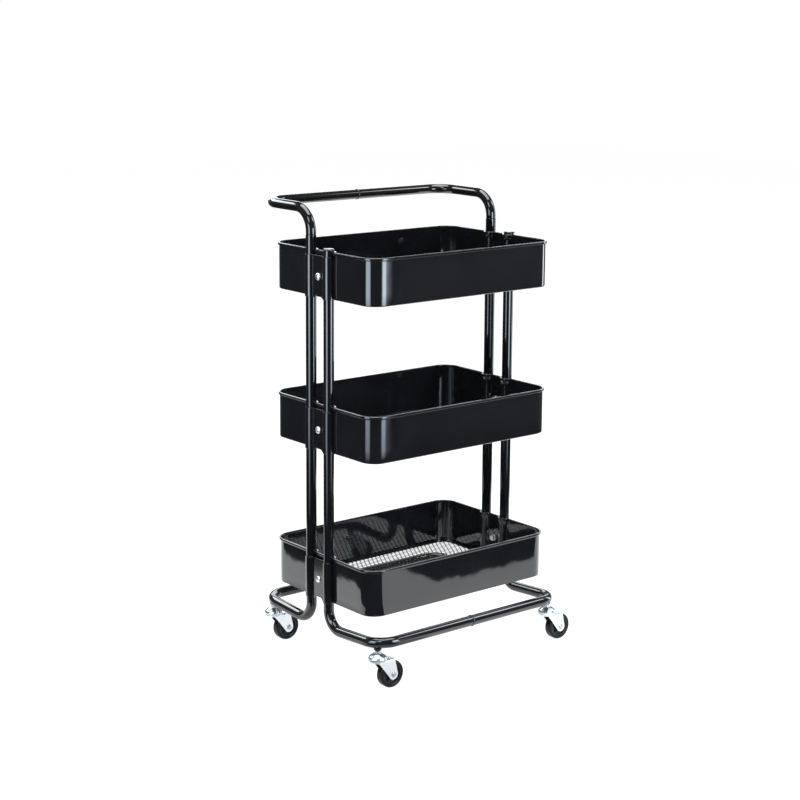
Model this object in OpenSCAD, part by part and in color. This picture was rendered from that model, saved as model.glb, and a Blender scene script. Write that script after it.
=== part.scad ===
// Rolling pantry cart: three sheet-metal baskets with expanded-mesh floors,
// clamped to a bent-tube frame with a rear push handle, on four swivel casters.
//
// Frame: millimetres. X runs along the long side, Y from the front long side
// (-Y) to the rear, handle side (+Y), Z is up. Z = 0 is the floor under the
// wheels and X = Y = 0 is the middle of the overall length and depth. At rest
// all four casters trail toward +X, so the right-hand wheels stand out past
// the frame and the middle of the baskets is a little on the -X side.
// The modules work from the baskets' middle; the last lines shift each node by -mid_x.

/* [Baskets] */
// Outside length of the basket walls along X, mm
basket_l = 421; // [360:1:480]
// Outside depth of the basket walls along Y, mm
basket_w = 296; // [240:1:340]
// Height of a basket from the underside of its flange to its rim, mm
basket_h = 85; // [60:1:110]
// Height of the top basket's rim above the floor, mm
top_rim_z = 768; // [700:1:820]
// Height difference between one rim and the next, mm
tier_pitch = 277.5; // [240:0.5:300]
// Plan radius of the basket corners, mm
corner_r = 31; // [20:1:50]
// Sheet thickness of the walls, mm
sheet_t = 1; // [0.8:0.1:1.6]
// How far the rolled rim stands out from the wall, mm
rim_out = 2.5; // [2:0.5:6]
// Height of the rolled rim, mm
rim_h = 5; // [3:0.5:8]

/* [Mesh floors] */
// Spacing between parallel strands of the floor mesh, mm
mesh_pitch = 16.6; // [12:0.1:24]
// Width of one strand, mm
strand_w = 2.4; // [1.6:0.1:4]
// Width of the flange the mesh is welded to, mm
flange_w = 10; // [6:1:16]

/* [Frame tubes] */
// Outside diameter of the frame tubes, mm
tube_d = 19; // [16:0.5:25]
// Outside diameter of the handle tubes, mm
handle_d = 18; // [15:0.5:24]
// Tube wall thickness, mm
tube_t = 1.2; // [0.8:0.1:2]
// Centreline radius of the handle bends, mm
bend_r = 42; // [35:1:60]
// Centreline radius of the bends at the foot of the uprights, mm
foot_r = 34; // [28:1:40]
// Centreline radius of the base corners, mm
corner_bend_r = 38; // [30:1:50]
// Fall of the base legs from the corners to the uprights, degrees
leg_fall = 3.5; // [0:0.5:5]
// Distance of the upright tubes' centres from the baskets' middle along X, mm
upright_x = 212.5; // [180:0.5:240]
// Distance of the upright tubes' centres from the baskets' middle along Y, mm
upright_y = 26.4; // [20:0.1:40]
// Distance of the base bars' centres from the middle along Y, mm
base_y = 174; // [140:1:190]
// Height of the base bars' centres above the floor, mm
base_z = 88; // [80:1:110]
// Distance of the handle bar's centre from the middle along Y, mm
handle_y = 171.5; // [140:0.5:200]
// Height of the handle bar's centre above the floor, mm
handle_z = 839; // [800:1:900]

/* [Casters] */
// Wheel diameter, mm
wheel_d = 50; // [40:1:60]
// Wheel width, mm
wheel_w = 16; // [12:1:20]
// Trail: distance from the swivel axis to the wheel axis, mm
trail = 28; // [20:1:35]

/* [Hidden] */
$fn = 48;

// clearances: close between touching parts, looser between sliding ones
gap = 0.05;
slip = 0.1;

// signs of the sides along X and Y
left = -1;
right = 1;
front = -1;
rear = 1;

// colours used by more than one piece
frame_black = [0.05, 0.05, 0.055];
plastic_black = [0.03, 0.03, 0.03];
hardware_grey = [0.75, 0.75, 0.73];

// tubes
tube_r = tube_d / 2;
tube_ri = tube_r - tube_t;
handle_r = handle_d / 2;
handle_ri = handle_r - tube_t;
bend_lap = 0.5;     // reach of the straight base lengths into the bends
bend_swell = 0.03;  // extra section radius of the base bends
rear_top_z = handle_z - bend_r - 4;
front_top_z = top_rim_z + 2;

// spigots that join the handle to the rear uprights
spigot_l = 32;
spigot_ro = tube_ri - slip;
spigot_ri = spigot_ro - 1.3;
shoulder_h = 1.3;

// joiners at the middle of the handle bar and the base bars
collar_w = 2;
plug_l = 60;
plug_t = 2;
bar_start_x = collar_w / 2 + gap;

// baskets
rims = [for (tier = [0:2]) top_rim_z - tier * tier_pitch];
wall_x = basket_l / 2;
groove_r = tube_r + 0.4;  // grooves in the basket ends round the uprights

// clamp brackets
bracket_t = 1.5;
bracket_ri = tube_r + slip;
bracket_ro = bracket_ri + bracket_t;
bracket_h = 76;
bracket_chamfer = 6;
wall_gap = 0.15;
web_out = upright_x + 4;
web_in = web_out - bracket_t;

// bracket fasteners
bolt_drop = 47;  // bolt axis below the rim
bolt_r = 3;
bolt_hole_r = 3.2;
bolt_reach = 9;  // reach of the bolt inward of the wall's outer face
washer_t = 1.2;
nut_h = 5;
washer_x = wall_x - sheet_t - slip - washer_t;
nut_x = washer_x - slip - nut_h;

// caster places: on each base corner bend, a little nearer the leg
caster_angle = 38;
caster_x = upright_x - corner_bend_r * (1 - cos(caster_angle));
caster_y = base_y - corner_bend_r * (1 - sin(caster_angle));
// underside of the tube over the caster
boss_z = base_z - (base_y - caster_y) * tan(leg_fall) - tube_r;
boss_neck_r = 5;

// caster parts
wheel_r = wheel_d / 2;
wheel_half = wheel_w / 2;
stem_r = 4;
axle_r = 3;
hub_r = 18.5;
ball_count = 12;
hub_hole_count = 6;
fork_in = wheel_half + 0.75;
fork_t = 2;
fork_out = fork_in + fork_t;
plate_z = 53;

// X of the overall middle, measured from the baskets' middle
mid_x = (caster_x + trail + wheel_r - upright_x - bracket_ro) / 2;

// ---------- shared shapes and places ----------
module rounded_rect(length, width, radius) {
    union() {
        square([length - 2 * radius, width], center = true);
        square([length, width - 2 * radius], center = true);
        for (sx = [-1, 1]) for (sy = [-1, 1])
            translate([sx * (length / 2 - radius), sy * (width / 2 - radius)])
                circle(r = radius);
    }
}

module annulus(ro, ri) {
    difference() {
        circle(r = ro);
        circle(r = ri);
    }
}

module at_uprights() {
    for (sx = [-1, 1]) for (sy = [-1, 1])
        translate([sx * upright_x, sy * upright_y]) children();
}

// moves a piece drawn on the right rear (+X, +Y) to the given sides
module on_side(sx, sy = rear) {
    mirror([sx < 0 ? 1 : 0, 0, 0]) mirror([0, sy < 0 ? 1 : 0, 0]) children();
}

// straight tube along +Z of the local frame
module straight(length, ro, ri) {
    linear_extrude(height = length) annulus(ro, ri);
}

// bent tube in the local XY plane, from +X toward +Y, centred on the origin
module bend(radius, ro, ri, angle = 90) {
    rotate_extrude(angle = angle) translate([radius, 0]) annulus(ro, ri);
}

// ---------- frame tubes ----------
// right rear tube: base bar, corner, leg falling toward the upright, bend, upright
module base_half(top_z) {
    leg_end_y = upright_y + foot_r * (1 + sin(leg_fall));
    leg_l = (base_y - leg_end_y) / cos(leg_fall) - corner_bend_r;
    foot_z = base_z - (base_y - leg_end_y) * tan(leg_fall) + foot_r * cos(leg_fall);
    bend_ro = tube_r + bend_swell;
    bend_ri = tube_ri - bend_swell;
    translate([bar_start_x, base_y, base_z]) rotate([0, 90, 0])
        straight(upright_x - corner_bend_r - bar_start_x + bend_lap, tube_r, tube_ri);
    // corner and leg lie in a plane that falls from the bar
    translate([0, base_y, base_z]) rotate([leg_fall, 0, 0]) {
        translate([upright_x - corner_bend_r, -corner_bend_r, 0])
            bend(corner_bend_r, bend_ro, bend_ri);
        translate([upright_x, -corner_bend_r - leg_l - bend_lap, 0]) rotate([-90, 0, 0])
            straight(leg_l + 2 * bend_lap, tube_r, tube_ri);
    }
    translate([upright_x, upright_y + foot_r, foot_z])
        rotate([0, 0, 180]) rotate([0, 90, 0]) rotate([0, 0, -leg_fall])
            bend(foot_r, bend_ro, bend_ri, angle = 90 + leg_fall);
    translate([upright_x, upright_y, foot_z - bend_lap])
        straight(top_z - foot_z + bend_lap, tube_r, tube_ri);
}

module frame_tube(sx, sy, top_z) {
    color(frame_black)
    difference() {
        on_side(sx, sy) base_half(top_z);
        // hole in the underside for the caster boss
        translate([sx * caster_x, sy * caster_y, boss_z - 3])
            cylinder(r = boss_neck_r + slip, h = tube_r + 3);
    }
}

module rear_frame_left() { frame_tube(left, rear, rear_top_z); }
module rear_frame_right() { frame_tube(right, rear, rear_top_z); }
module front_frame_left() { frame_tube(left, front, front_top_z); }
module front_frame_right() { frame_tube(right, front, front_top_z); }

// ---------- handle ----------
// one half of the push handle: spigot, shoulder, bend, leg, corner, bar
module handle_half(sx) {
    color(frame_black)
    on_side(sx) union() {
        translate([upright_x, upright_y, rear_top_z - spigot_l])
            straight(spigot_l + slip, spigot_ro, spigot_ri);
        translate([upright_x, upright_y, rear_top_z + gap]) difference() {
            cylinder(r = handle_r, h = shoulder_h);
            translate([0, 0, -1]) cylinder(r = spigot_ri, h = 4);
        }
        translate([upright_x, upright_y, rear_top_z + shoulder_h])
            straight(handle_z - bend_r - rear_top_z - shoulder_h, handle_r, handle_ri);
        translate([upright_x, upright_y + bend_r, handle_z - bend_r])
            rotate([0, 0, 180]) rotate([0, -90, 0])
                bend(bend_r, handle_r, handle_ri);
        translate([upright_x, upright_y + bend_r, handle_z]) rotate([-90, 0, 0])
            straight(handle_y - upright_y - 2 * bend_r, handle_r, handle_ri);
        translate([upright_x - bend_r, handle_y - bend_r, handle_z])
            bend(bend_r, handle_r, handle_ri);
        translate([bar_start_x, handle_y, handle_z]) rotate([0, 90, 0])
            straight(upright_x - bend_r - bar_start_x, handle_r, handle_ri);
    }
}
module handle_left() { handle_half(left); }
module handle_right() { handle_half(right); }

// ---------- joiners and end caps ----------
// internal sleeve with a thin collar that shows at the seam
module joiner(y, z, outer_r, inner_r) {
    plug_r = inner_r - gap;
    color(plastic_black)
    translate([0, y, z]) rotate([0, 90, 0]) difference() {
        union() {
            translate([0, 0, -collar_w / 2]) cylinder(r = outer_r + 1, h = collar_w);
            translate([0, 0, -plug_l / 2]) cylinder(r = plug_r, h = plug_l);
        }
        translate([0, 0, -plug_l / 2 - 1]) cylinder(r = plug_r - plug_t, h = plug_l + 2);
    }
}
module handle_joiner() { joiner(handle_y, handle_z, handle_r, handle_ri); }
module base_joiner_front() { joiner(-base_y, base_z, tube_r, tube_ri); }
module base_joiner_rear() { joiner(base_y, base_z, tube_r, tube_ri); }

// plugs in the tops of the front uprights; profile is [radius, height over the tube]
module tube_end_caps() {
    color(plastic_black)
    for (sx = [-1, 1]) translate([sx * upright_x, -upright_y, front_top_z])
        rotate_extrude() polygon([
            [0, -12], [tube_ri - slip, -12], [tube_ri - slip, 0.1], [tube_r + 0.7, 0.1],
            [tube_r + 0.7, 1.6], [tube_r - 1, 2.8], [5, 3.4], [0, 3.5]]);
}

// ---------- baskets ----------
// band round the basket's plan, following the grooves: `out` is how far it stands
// outside the wall face, `inset` how far it reaches inside that face, and
// `groove_band` its width round a groove
module basket_band(out, inset, groove_band) {
    difference() {
        rounded_rect(basket_l + 2 * out, basket_w + 2 * out, corner_r + out);
        at_uprights() circle(r = groove_r);
        difference() {
            rounded_rect(basket_l - 2 * inset, basket_w - 2 * inset, corner_r - inset);
            at_uprights() circle(r = groove_r + groove_band);
        }
    }
}

module basket(rim) {
    color([0.06, 0.06, 0.065])
    translate([0, 0, rim - basket_h]) difference() {
        union() {
            // flange
            linear_extrude(height = sheet_t)
                basket_band(0, flange_w, flange_w - 4);
            // wall, reaching a little way into the rim
            linear_extrude(height = basket_h - rim_h + 0.5)
                basket_band(0, sheet_t, sheet_t);
            // rim
            translate([0, 0, basket_h - rim_h]) linear_extrude(height = rim_h)
                basket_band(rim_out, sheet_t, sheet_t + rim_out);
        }
        for (sx = [-1, 1]) translate([sx * wall_x, 0, basket_h - bolt_drop])
            rotate([0, 90, 0]) cylinder(r = bolt_hole_r, h = 12, center = true);
    }
}
module top_basket() { basket(rims[0]); }
module middle_basket() { basket(rims[1]); }
module bottom_basket() { basket(rims[2]); }

// ---------- mesh floors ----------
// diamond openings in staggered rows; strands run 60 degrees from X
strand_angle = 60;
diamond_pitch_x = mesh_pitch / sin(strand_angle);
diamond_pitch_y = mesh_pitch / cos(strand_angle);
diamond_half_x = (mesh_pitch - strand_w) / (2 * sin(strand_angle));
diamond_half_y = diamond_half_x * tan(strand_angle);
mesh_t = 1;
mesh_inset = sheet_t + 0.5;  // from the wall's outer face to the mesh edge
mesh_l = basket_l - 2 * mesh_inset;
mesh_w = basket_w - 2 * mesh_inset;
mesh_border = 5;         // least solid border along the straight edges
mesh_corner_cut = 32;    // openings stop this far short of the square corner, in |x| + |y|
mesh_groove_margin = 8;  // solid margin inward of the grooves
columns = ceil(mesh_l / diamond_pitch_x);
rows = ceil(mesh_w / diamond_pitch_y);

module diamond() {
    polygon([[diamond_half_x, 0], [0, diamond_half_y],
             [-diamond_half_x, 0], [0, -diamond_half_y]]);
}

// true where a diamond centred at (x, y) clears the sheet's border,
// its rounded corners and the grooves round the uprights
function clear_of(x, y) =
    abs(x) + diamond_half_x < mesh_l / 2 - mesh_border
    && abs(y) + diamond_half_y < mesh_w / 2 - mesh_border
    && abs(x) + abs(y) < (mesh_l + mesh_w) / 2 - mesh_corner_cut
    && !(abs(x) + diamond_half_x > upright_x - groove_r - mesh_groove_margin
         && abs(abs(y) - upright_y) < groove_r + diamond_half_y);

module mesh_floor(rim) {
    color([0.08, 0.08, 0.085])
    translate([0, 0, rim - basket_h + sheet_t + gap])
    linear_extrude(height = mesh_t) difference() {
        rounded_rect(mesh_l, mesh_w, corner_r - mesh_inset);
        at_uprights() circle(r = groove_r + mesh_inset);
        for (i = [-columns:columns]) for (j = [-rows:rows]) {
            x = i * diamond_pitch_x / 2;
            y = j * diamond_pitch_y / 2;
            if ((i + j) % 2 != 0 && clear_of(x, y))
                translate([x, y]) diamond();
        }
    }
}
module top_mesh_floor() { mesh_floor(rims[0]); }
module middle_mesh_floor() { mesh_floor(rims[1]); }
module bottom_mesh_floor() { mesh_floor(rims[2]); }

// ---------- clamp brackets ----------
// solid outline of one saddle: round the tube, with a straight leg on the side
// away from the middle, reaching in to the basket wall
module saddle_2d() {
    leg_x = wall_x + wall_gap;
    translate([upright_x, upright_y]) circle(r = bracket_ro);
    translate([leg_x, upright_y]) square([upright_x - leg_x, bracket_ro]);
}

// two saddles joined by a flat web
module bracket_2d() {
    cut = 20;
    difference() {
        union() {
            for (sy = [0, 1]) mirror([0, sy]) difference() {
                saddle_2d();
                // open the side toward the middle, inboard of the web
                translate([upright_x - cut, upright_y - cut])
                    square([cut + web_in - upright_x, cut]);
                // stop short of the wall
                translate([wall_x - cut - wall_gap, upright_y - cut])
                    square([cut + 2 * wall_gap, 3 * cut]);
            }
            translate([web_in, -upright_y]) square([bracket_t, 2 * upright_y]);
        }
        // room for the tubes and between them and the wall
        for (sy = [0, 1]) mirror([0, sy]) {
            translate([upright_x, upright_y]) circle(r = bracket_ri);
            translate([wall_x - 1, upright_y]) square([upright_x - wall_x + 1, bracket_ri]);
        }
    }
}

// side view of a bracket as [y, z]: chamfered corners, 1 mm oversize all round
module bracket_side_2d() {
    side = upright_y + bracket_ro + 1;
    chamfer = bracket_chamfer;
    polygon([[-side, chamfer], [-side + chamfer, -1],
             [side - chamfer, -1], [side, chamfer],
             [side, bracket_h - chamfer], [side - chamfer, bracket_h + 1],
             [-side + chamfer, bracket_h + 1], [-side, bracket_h - chamfer]]);
}

module bracket(sx, rim) {
    bottom = rim - basket_h;
    color(frame_black)
    on_side(sx) difference() {
        intersection() {
            translate([0, 0, bottom]) linear_extrude(height = bracket_h) bracket_2d();
            translate([wall_x - 5, 0, bottom]) rotate([90, 0, 90])
                linear_extrude(height = 30) bracket_side_2d();
        }
        translate([web_out, 0, rim - bolt_drop]) rotate([0, 90, 0])
            cylinder(r = bolt_hole_r, h = 10, center = true);
        // arch in the lower edge of the web
        translate([web_out, 0, bottom - 9]) rotate([0, 90, 0])
            cylinder(r = 14, h = 10, center = true);
    }
}
module top_bracket_left() { bracket(left, rims[0]); }
module top_bracket_right() { bracket(right, rims[0]); }
module middle_bracket_left() { bracket(left, rims[1]); }
module middle_bracket_right() { bracket(right, rims[1]); }
module bottom_bracket_left() { bracket(left, rims[2]); }
module bottom_bracket_right() { bracket(right, rims[2]); }

// ---------- bracket fasteners ----------
// places children with local +Z pointing outboard along X at every bolt
module at_bolts() {
    for (rim = rims) for (sx = [-1, 1])
        translate([0, 0, rim - bolt_drop]) rotate([0, 90 * sx, 0]) children();
}

// domed head with a cross recess, and a plain shank
module bracket_bolts() {
    recess = [5.4, 1.1];
    color([0.8, 0.8, 0.78])
    at_bolts() {
        difference() {
            translate([0, 0, web_out + gap]) rotate_extrude()
                polygon([[0, 0], [6.6, 0], [6.6, 0.7], [6.1, 1.8],
                         [5, 2.7], [3.4, 3.4], [1.6, 3.7], [0, 3.75]]);
            translate([0, 0, web_out + 2.2]) linear_extrude(height = 3) union() {
                square(recess, center = true);
                square([recess.y, recess.x], center = true);
            }
        }
        // the shank laps 0.01 into the head
        translate([0, 0, wall_x - bolt_reach])
            cylinder(r = bolt_r, h = web_out - wall_x + bolt_reach + gap + 0.01);
    }
}

module bracket_washers() {
    color(hardware_grey)
    at_bolts() translate([0, 0, washer_x])
        linear_extrude(height = washer_t) annulus(6.5, bolt_r + slip);
}

module bracket_nuts() {
    color(hardware_grey)
    at_bolts() translate([0, 0, nut_x]) difference() {
        cylinder(r = 5.77, h = nut_h, $fn = 6);
        translate([0, 0, -1]) cylinder(r = bolt_r + gap, h = nut_h + 2);
    }
}

// ---------- casters ----------
// Turned profiles are [radius, height along the axis].
module at_caster(sx, sy) {
    translate([sx * caster_x, sy * caster_y, 0]) children();
}

// local Z along the wheel axis
module at_wheel(sx, sy) {
    translate([sx * caster_x + trail, sy * caster_y, wheel_r]) rotate([90, 0, 0]) children();
}

// boss under each base corner; its neck passes up into the tube
module caster_weld_nuts() {
    bore = stem_r + slip;
    color([0.04, 0.04, 0.04])
    for (sx = [-1, 1]) for (sy = [-1, 1]) at_caster(sx, sy)
        rotate_extrude() polygon([
            [bore, boss_z - 4.6], [4.9, boss_z - 4.6], [7, boss_z - 2.4], [7, boss_z - 0.7],
            [boss_neck_r, boss_z - 0.7], [boss_neck_r, base_z + 1], [bore, base_z + 1]]);
}

// swivel pin with a flange below the fork plate and a domed cup above it
module caster_stem(sx, sy) {
    color([0.75, 0.75, 0.72])
    at_caster(sx, sy) rotate_extrude() polygon([
        [0, 50.6], [5.2, 50.6], [6.4, 51.6], [6.4, 52.9], [stem_r, 52.9], [stem_r, 58.8],
        [13.6, 58.8], [15.2, 57.6], [15.2, 55.6], [16.8, 55.6], [16.8, 59.6], [15.2, 62.8],
        [12, 65.6], [9, 67.6], [6.5, 68.6], [6.5, 70.2], [stem_r, 70.2], [stem_r, base_z],
        [3.2, base_z + 1], [0, base_z + 1]]);
}

// ring of balls between the fork plate and the cup
module caster_balls(sx, sy) {
    color([0.7, 0.7, 0.7])
    at_caster(sx, sy) translate([0, 0, 56.93]) for (i = [0:ball_count - 1])
        rotate([0, 0, i * 360 / ball_count]) translate([10.6, 0, 0]) sphere(r = 1.8);
}

// fork cheek as [x from the swivel axis, z]
module fork_leg_2d() {
    difference() {
        union() {
            polygon([
                [-12, plate_z + 2], [-12, plate_z - 0.5], [-6, plate_z - 1.5],
                [-1.5, plate_z - 4.5], [trail - 7.4, wheel_r - 5.7], [trail + 9, wheel_r - 2],
                [trail + 3.4, plate_z], [trail + 2.4, plate_z + 2]]);
            translate([trail, wheel_r]) circle(r = 9.3);
        }
        translate([trail, wheel_r]) circle(r = axle_r + gap);
    }
}

// two cheeks under a top plate
module caster_fork(sx, sy) {
    color([0.78, 0.78, 0.76])
    at_caster(sx, sy) union() {
        for (side = [-1, 1]) translate([0, side * (fork_in + fork_t / 2) + fork_t / 2, 0])
            rotate([90, 0, 0]) linear_extrude(height = fork_t) fork_leg_2d();
        translate([0, 0, plate_z]) linear_extrude(height = fork_t) difference() {
            union() {
                circle(r = 15.6);
                translate([0, -fork_out]) square([trail + 2.4, 2 * fork_out]);
            }
            circle(r = stem_r + gap);
        }
    }
}

module caster_axle(sx, sy) {
    color([0.7, 0.7, 0.68])
    at_wheel(sx, sy) rotate_extrude() polygon([
        [0, -fork_out - 1.8], [3.6, -fork_out - 1.6], [5.2, -fork_out - 0.6],
        [5.2, -fork_out - gap], [axle_r, -fork_out - gap],
        [axle_r, fork_out + gap], [5.2, fork_out + gap],
        [5.2, fork_out + 0.6], [3.6, fork_out + 1.6], [0, fork_out + 1.8]]);
}

// hub with a ring of round holes through its disc
module caster_hub(sx, sy) {
    bore = axle_r + 0.06;
    boss_half = wheel_half + 0.5;
    rim_half = wheel_half - 1;
    color([0.06, 0.06, 0.06])
    at_wheel(sx, sy) difference() {
        rotate_extrude() polygon([
            [bore, -boss_half], [6.5, -boss_half], [7.2, -3], [15.5, -3],
            [16, -rim_half], [hub_r, -rim_half], [hub_r, rim_half], [16, rim_half],
            [15.5, 3], [7.2, 3], [6.5, boss_half], [bore, boss_half]]);
        for (i = [0:hub_hole_count - 1]) rotate([0, 0, (i + 0.5) * 360 / hub_hole_count])
            translate([11.3, 0, -4]) cylinder(r = 2.8, h = 8);
    }
}

module caster_tyre(sx, sy) {
    half = wheel_half;
    color(plastic_black)
    at_wheel(sx, sy) rotate_extrude() polygon([
        [hub_r + gap, -half + 0.6], [21, -half], [23.2, -half], [24.4, -half + 1.1],
        [wheel_r, -half + 3], [wheel_r, half - 3],
        [24.4, half - 1.1], [23.2, half], [21, half], [hub_r + gap, half - 0.6]]);
}

module caster_fl_stem() { caster_stem(left, front); }
module caster_fl_balls() { caster_balls(left, front); }
module caster_fl_fork() { caster_fork(left, front); }
module caster_fl_axle() { caster_axle(left, front); }
module caster_fl_hub() { caster_hub(left, front); }
module caster_fl_tyre() { caster_tyre(left, front); }
module caster_fr_stem() { caster_stem(right, front); }
module caster_fr_balls() { caster_balls(right, front); }
module caster_fr_fork() { caster_fork(right, front); }
module caster_fr_axle() { caster_axle(right, front); }
module caster_fr_hub() { caster_hub(right, front); }
module caster_fr_tyre() { caster_tyre(right, front); }
module caster_rl_stem() { caster_stem(left, rear); }
module caster_rl_balls() { caster_balls(left, rear); }
module caster_rl_fork() { caster_fork(left, rear); }
module caster_rl_axle() { caster_axle(left, rear); }
module caster_rl_hub() { caster_hub(left, rear); }
module caster_rl_tyre() { caster_tyre(left, rear); }
module caster_rr_stem() { caster_stem(right, rear); }
module caster_rr_balls() { caster_balls(right, rear); }
module caster_rr_fork() { caster_fork(right, rear); }
module caster_rr_axle() { caster_axle(right, rear); }
module caster_rr_hub() { caster_hub(right, rear); }
module caster_rr_tyre() { caster_tyre(right, rear); }

// ---------- nodes ----------
module place() { translate([-mid_x, 0, 0]) children(); }

place() rear_frame_left();
place() rear_frame_right();
place() front_frame_left();
place() front_frame_right();
place() handle_left();
place() handle_right();
place() handle_joiner();
place() base_joiner_front();
place() base_joiner_rear();
place() tube_end_caps();
place() top_basket();
place() middle_basket();
place() bottom_basket();
place() top_mesh_floor();
place() middle_mesh_floor();
place() bottom_mesh_floor();
place() top_bracket_left();
place() top_bracket_right();
place() middle_bracket_left();
place() middle_bracket_right();
place() bottom_bracket_left();
place() bottom_bracket_right();
place() bracket_bolts();
place() bracket_washers();
place() bracket_nuts();
place() caster_weld_nuts();
place() caster_fl_stem();
place() caster_fl_balls();
place() caster_fl_fork();
place() caster_fl_axle();
place() caster_fl_hub();
place() caster_fl_tyre();
place() caster_fr_stem();
place() caster_fr_balls();
place() caster_fr_fork();
place() caster_fr_axle();
place() caster_fr_hub();
place() caster_fr_tyre();
place() caster_rl_stem();
place() caster_rl_balls();
place() caster_rl_fork();
place() caster_rl_axle();
place() caster_rl_hub();
place() caster_rl_tyre();
place() caster_rr_stem();
place() caster_rr_balls();
place() caster_rr_fork();
place() caster_rr_axle();
place() caster_rr_hub();
place() caster_rr_tyre();
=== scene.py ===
# Rolling pantry cart: three mesh-floored baskets clamped to a bent tube frame on four casters.
# It stands on z = 0 with its length along X and its width along Y. The front frame is on -Y,
# the rear frame and the handle on +Y, and "left" is -X. Metres; sizes marked mm are scaled by MM.
import bpy, bmesh, math
import numpy as np
from mathutils import Vector, Matrix
from mathutils.geometry import delaunay_2d_cdt


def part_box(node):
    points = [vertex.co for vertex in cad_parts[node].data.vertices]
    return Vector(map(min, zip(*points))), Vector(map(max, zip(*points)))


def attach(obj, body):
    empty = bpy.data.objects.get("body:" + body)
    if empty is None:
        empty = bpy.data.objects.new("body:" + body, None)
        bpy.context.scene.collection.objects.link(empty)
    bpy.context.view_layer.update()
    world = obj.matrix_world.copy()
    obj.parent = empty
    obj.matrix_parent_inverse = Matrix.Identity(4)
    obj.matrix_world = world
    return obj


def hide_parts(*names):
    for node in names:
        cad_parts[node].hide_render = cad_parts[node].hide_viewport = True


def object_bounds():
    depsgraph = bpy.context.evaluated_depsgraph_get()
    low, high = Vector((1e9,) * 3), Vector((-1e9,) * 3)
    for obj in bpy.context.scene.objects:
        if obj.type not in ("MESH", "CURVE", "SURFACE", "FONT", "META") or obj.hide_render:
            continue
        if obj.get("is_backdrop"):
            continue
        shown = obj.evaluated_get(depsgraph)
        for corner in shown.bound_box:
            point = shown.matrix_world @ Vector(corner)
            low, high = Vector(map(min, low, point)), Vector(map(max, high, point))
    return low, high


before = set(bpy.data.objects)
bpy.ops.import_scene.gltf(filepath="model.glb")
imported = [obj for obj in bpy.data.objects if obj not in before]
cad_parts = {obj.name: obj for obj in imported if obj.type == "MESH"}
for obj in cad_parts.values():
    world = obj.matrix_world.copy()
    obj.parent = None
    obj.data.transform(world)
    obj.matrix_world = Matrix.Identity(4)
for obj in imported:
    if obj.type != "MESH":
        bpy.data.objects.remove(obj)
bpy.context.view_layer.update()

# ------------------------------------------- driving sizes, from the frame (mm)
MM = 0.001
BASKETS = ("top", "middle", "bottom")
SIDES = ((-1, "left"), (1, "right"))

basket_low, basket_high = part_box("top_basket")
CENTRE_X = (basket_low.x + basket_high.x) / 2      # middle of the baskets, in metres
RIM_TOP = {name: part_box(name + "_basket")[1].z / MM for name in BASKETS}
RIM_OUT = 2.5                                      # how far the rolled rim stands out
BASKET_H = (basket_high.z - basket_low.z) / MM
BASKET_L = (basket_high.x - basket_low.x) / MM - 2 * RIM_OUT
BASKET_W = (basket_high.y - basket_low.y) / MM - 2 * RIM_OUT
BASKET_CORNER_R = 31.0
BASKET_T = 1.0                                     # sheet thickness
FLANGE = 10.0                                      # width of the flange round the floor

rear_low, rear_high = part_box("rear_frame_right")
TUBE_R = 9.5
TUBE_BORE_R = 8.3
SEAM_X = 1.05                                      # tube halves stop this far from the middle
UPRIGHT_X = (rear_high.x - CENTRE_X) / MM - TUBE_R
UPRIGHT_Y = rear_low.y / MM + TUBE_R
BASE_Y = rear_high.y / MM - TUBE_R
REAR_TOP = rear_high.z / MM
FRONT_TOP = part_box("front_frame_right")[1].z / MM
FOOT_R, CORNER_R = 34.0, 38.0                      # bends below the upright and at the base corner
FALL = math.radians(3.5)                           # slope of the base legs, down to the upright
LEG_Y = UPRIGHT_Y + FOOT_R * (1 + math.sin(FALL))  # where the foot bend meets the leg
BASE_Z = (rear_low.z / MM + FOOT_R + TUBE_R - FOOT_R * math.cos(FALL)
          + (BASE_Y - LEG_Y) * math.tan(FALL))

handle_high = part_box("handle_right")[1]
HANDLE_R = 9.0
HANDLE_BORE_R = 7.0
HANDLE_BEND_R = 42.0
HANDLE_Y = handle_high.y / MM - HANDLE_R
HANDLE_Z = handle_high.z / MM - HANDLE_R
GROOVE_R = TUBE_R + 0.4                            # groove in the basket wall round an upright


# ------------------------------------------------------------------ objects
def add_object(name, mesh, body, replaced, location=(0, 0, 0)):
    ob = bpy.data.objects.new(name, mesh)
    ob.location = location
    bpy.context.scene.collection.objects.link(ob)
    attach(ob, body)
    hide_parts(replaced)
    return ob


def add_part(name, part, material, body, replaced, sharp=35.0, centre_x=CENTRE_X):
    """Smooth-shaded object from (vertices, faces); edges over `sharp` degrees stay sharp."""
    verts, faces = part
    mesh = bpy.data.meshes.new(name)
    mesh.from_pydata([(v[0] + centre_x, v[1], v[2]) for v in verts], [], faces)
    mesh.validate()
    bm = bmesh.new()
    bm.from_mesh(mesh)
    bmesh.ops.remove_doubles(bm, verts=bm.verts, dist=1e-7)
    bmesh.ops.recalc_face_normals(bm, faces=bm.faces)
    bm.to_mesh(mesh)
    bm.free()
    mesh.materials.append(material)
    mesh.shade_smooth()
    mesh.set_sharp_from_angle(angle=math.radians(sharp))
    return add_object(name, mesh, body, replaced)


def bevel(ob, width, angle):
    modifier = ob.modifiers.new("edge", "BEVEL")
    modifier.width = width
    modifier.segments = 2
    modifier.limit_method = "ANGLE"
    modifier.angle_limit = math.radians(angle)


def set_material(node_name, material):
    """Gives a new material to a piece that keeps its shape from the frame."""
    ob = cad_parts[node_name]
    ob.data.materials.clear()
    ob.data.materials.append(material)
    return ob


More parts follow.
